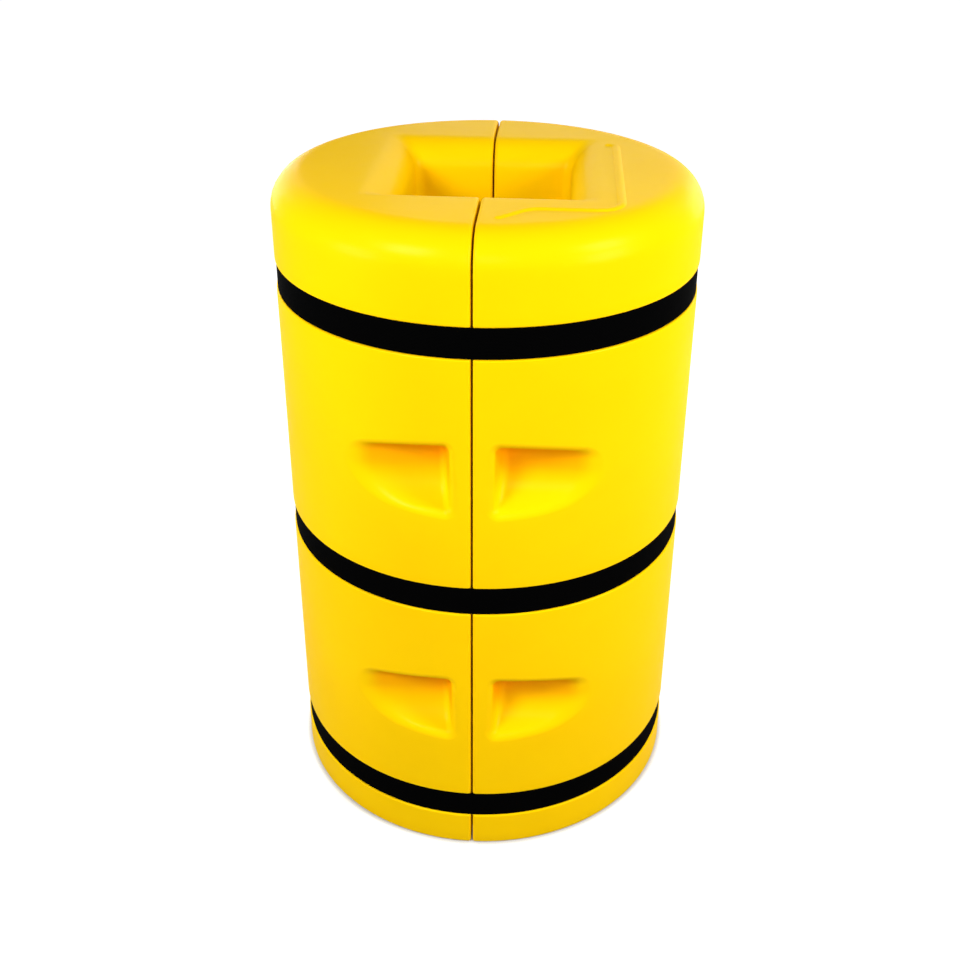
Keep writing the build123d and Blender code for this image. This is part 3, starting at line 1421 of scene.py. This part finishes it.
    def dress(self, finishes: dict[Slot, bpy.types.Material]) -> None:
        """Make the pieces of the strap and give them their finishes.

        Args:
            finishes: material of each slot.
        """
        give_finish(self.web(), finishes, Slot.WEBBING)
        give_finish(self.tail(), finishes, Slot.WEBBING)
        give_finish(self.loop_patch(), finishes, Slot.LOOP_PILE)
        give_finish(self.hook_patch(), finishes, Slot.HOOK_TAPE)
        give_finish(self.stitching(), finishes, Slot.WEBBING)


@dataclass(frozen=True)
class HookField:
    """Rows of small bent hooks on the inner face of the hook tape."""

    pitch_along: float = 0.0026
    pitch_across: float = 0.0022
    margin: float = 0.003
    foot: float = 0.0009
    tip: float = 0.0004
    bend: float = 0.0006
    root_share: float = 0.05

    def sow(self, draft: Draft, strap: Strap) -> None:
        """Add the hooks to a draft.

        Args:
            draft: draft of the hook patch.
            strap: strap that the patch belongs to.
        """
        first = strap.hook_root_margin + self.margin
        last = strap.tail_length - strap.hook_end_margin - self.margin
        half = strap.half_width - strap.patch_side_margin - self.margin
        base = strap.hook_radius + strap.hook_thickness * self.root_share
        top = strap.hook_radius - strap.hook_thickness / 2
        corner = np.array([(-0.5, -0.5), (0.5, -0.5), (0.5, 0.5), (-0.5, 0.5)])
        for row, along in enumerate(np.arange(first, last, self.pitch_along)):
            lean = self.bend if row % 2 else -self.bend
            for across in np.arange(-half, half, self.pitch_across):
                loops = []
                for radius, size, shift in ((base, self.foot, 0.0), (top, self.tip, lean)):
                    path, _ = strap.behind(radius, along + shift + size * corner[:, 0])
                    z = strap.height + across + size * corner[:, 1]
                    loops.append(draft.add(np.column_stack([path, z])))
                draft.wrap(loops)
                draft.cap(loops[0])
                draft.cap(loops[1])


@dataclass(frozen=True)
class Stitching:
    """Row of thread stitches that lie on a strap."""

    radius: float
    height: float
    pitch: float = 0.0046
    length: float = 0.0034
    thread: float = 0.0007
    crown: float = 0.6
    sink: float = 0.15
    least_swell: float = 0.04
    round_points: int = 5
    length_points: int = 7

    def sew(self, draft: Draft, first: tuple[float, float], second: tuple[float, float]) -> None:
        """Add one straight row of stitches.

        Args:
            draft: draft of the stitching.
            first: place along and across where the row starts.
            second: place along and across where it ends.
        """
        start, end = np.array(first), np.array(second)
        span = np.linalg.norm(end - start)
        heading = (end - start) / span
        across = np.array([-heading[1], heading[0]])
        turn = np.linspace(0, math.pi, self.round_points)
        reach = np.linspace(-1, 1, self.length_points)
        swell = np.sqrt(np.maximum(1 - reach**2, self.least_swell))
        for place in np.arange(self.pitch / 2, span, self.pitch):
            middle = start + heading * place
            flat = (
                middle + heading * (reach * self.length / 2)[:, None, None]
                + across * (swell[:, None] * np.cos(turn) * self.thread / 2)[:, :, None]
            )
            rise = swell[:, None] * np.sin(turn) * self.thread * self.crown - self.thread * self.sink
            turned = flat[:, :, 0] / self.radius
            radius = self.radius + rise
            z = self.height + flat[:, :, 1]
            draft.tube(draft.add(np.stack([-np.sin(turned) * radius, np.cos(turned) * radius, z], 2)))


@dataclass(frozen=True)
class PhotoCamera:
    """Camera at the photograph's viewing angle."""

    azimuth: float = math.radians(2.6028)
    elevation: float = math.radians(27.4598)
    roll: float = math.radians(0.8447)
    distance: float = 2.0302
    target_height: float = 0.6302
    target_shift: float = 0.0337
    focal_pixels: float = 1203.35
    axis_right_pixels: float = 26.82
    axis_up_pixels: float = 60.0

    def build(self) -> None:
        """Make the camera and use it for the scene."""
        right = Vector((math.cos(self.azimuth), math.sin(self.azimuth), 0))
        back = Vector((
            math.sin(self.azimuth) * math.cos(self.elevation),
            -math.cos(self.azimuth) * math.cos(self.elevation),
            math.sin(self.elevation),
        ))
        up = back.cross(right)
        turned_right = right * math.cos(self.roll) + up * math.sin(self.roll)
        turned_up = up * math.cos(self.roll) - right * math.sin(self.roll)
        data = bpy.data.cameras.new("photo_camera")
        data.sensor_width = SENSOR_WIDTH
        data.lens = self.focal_pixels * SENSOR_WIDTH / PHOTO_WIDTH
        data.shift_x = -self.axis_right_pixels / PHOTO_WIDTH
        data.shift_y = -self.axis_up_pixels / PHOTO_WIDTH
        camera = placed("photo_camera", data)
        turn = Matrix((turned_right, turned_up, back)).transposed()
        camera.matrix_world = turn.to_4x4()
        target = right * self.target_shift + Vector((0, 0, self.target_height))
        camera.location = target + back * self.distance
        bpy.context.scene.camera = camera


@dataclass(frozen=True)
class Softbox:
    """Large soft lamp that points at the drum."""

    name: str
    place: tuple
    power: float
    size: float = 0.6
    aim: tuple = (0.0, 0.0, 0.60)

    def build(self) -> None:
        """Make the lamp."""
        data = bpy.data.lights.new(self.name, "AREA")
        data.shape = "SQUARE"
        data.size = self.size
        data.energy = self.power
        lamp = placed(self.name, data)
        lamp.location = self.place
        lamp.rotation_mode = "QUATERNION"
        lamp.rotation_quaternion = (Vector(self.aim) - Vector(self.place)).to_track_quat("-Z", "Y")


@dataclass
class Studio:
    """Pale floor, soft lamps and a white surround."""

    floor_half: float = 14.0
    ambient: float = 0.08
    lamps: tuple = (
        Softbox("key_softbox", (-1.10, -1.50, 1.95), 32.0),
        Softbox("left_softbox", (-1.65, -0.95, 1.00), 11.5),
        Softbox("front_softbox", (0.10, -2.00, 1.70), 6.0),
        Softbox("right_softbox", (1.72, -0.85, 1.92), 25.5),
        Softbox("low_softbox", (1.65, -0.95, 1.10), 17.0),
        Softbox("rear_left_softbox", (-1.30, 1.70, 1.10), 26.0, size=1.0),
        Softbox("rear_right_softbox", (1.30, 1.70, 1.10), 22.0, size=1.0),
        Softbox("rear_softbox", (0.20, 2.10, 1.70), 18.0, size=1.4),
    )

    def build(self) -> None:
        """Set up the floor, the lamps, the surround and the view."""
        half = self.floor_half
        corners = [(-half, -half, 0.0), (half, -half, 0.0), (half, half, 0.0), (-half, half, 0.0)]
        draft = Draft()
        draft.cap(draft.add(np.array(corners)))
        floor = draft.build("floor")
        floor.data.materials.append(FloorPaint().build())
        for lamp in self.lamps:
            lamp.build()
        self.surround()
        bpy.context.scene.view_settings.view_transform = "Standard"

    def surround(self) -> None:
        """White where the camera looks, and a plain even light elsewhere."""
        world = bpy.data.worlds.new("white_surround")
        world.use_nodes = True
        bpy.context.scene.world = world
        nodes = Nodes(world.node_tree)
        light = nodes.add("ShaderNodeBackground")
        nodes.put(light, {"Color": WHITE, "Strength": self.ambient})
        white = nodes.add("ShaderNodeBackground")
        nodes.put(white, {"Color": WHITE})
        either = nodes.add("ShaderNodeMixShader")
        nodes.join(seen_directly(nodes), either.inputs["Fac"])
        nodes.join(light.outputs[0], either.inputs[1])
        nodes.join(white.outputs[0], either.inputs[2])
        output = nodes.add("ShaderNodeOutputWorld")
        nodes.join(either.outputs[0], output.inputs["Surface"])


@dataclass
class Protector:
    """The whole column protector, dressed."""

    def build(self) -> None:
        """Build and dress the halves and the straps."""
        finishes = {
            Slot.SHELL: MouldedPlastic().build(),
            Slot.WEBBING: WovenWebbing().build(),
            Slot.LOOP_PILE: NappedPile().build(),
            Slot.HOOK_TAPE: HookPlastic().build(),
        }
        straps = [Strap(level) for level in Level]
        heights = [strap.height for strap in straps]
        pockets = [(above + below) / 2 for above, below in zip(heights[:-1], heights[1:])]
        for side in Side:
            HalfShell(side, heights, pockets).dress(finishes)
        TopBead().dress(finishes)
        for strap in straps:
            strap.dress(finishes)


def main() -> None:
    """Load the frame and build the looks round it."""
    logging.basicConfig(level=logging.INFO, format="%(name)s %(message)s")
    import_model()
    Studio().build()
    PhotoCamera().build()
    Protector().build()
    bpy.context.view_layer.update()


if __name__ == "__main__":
    main()
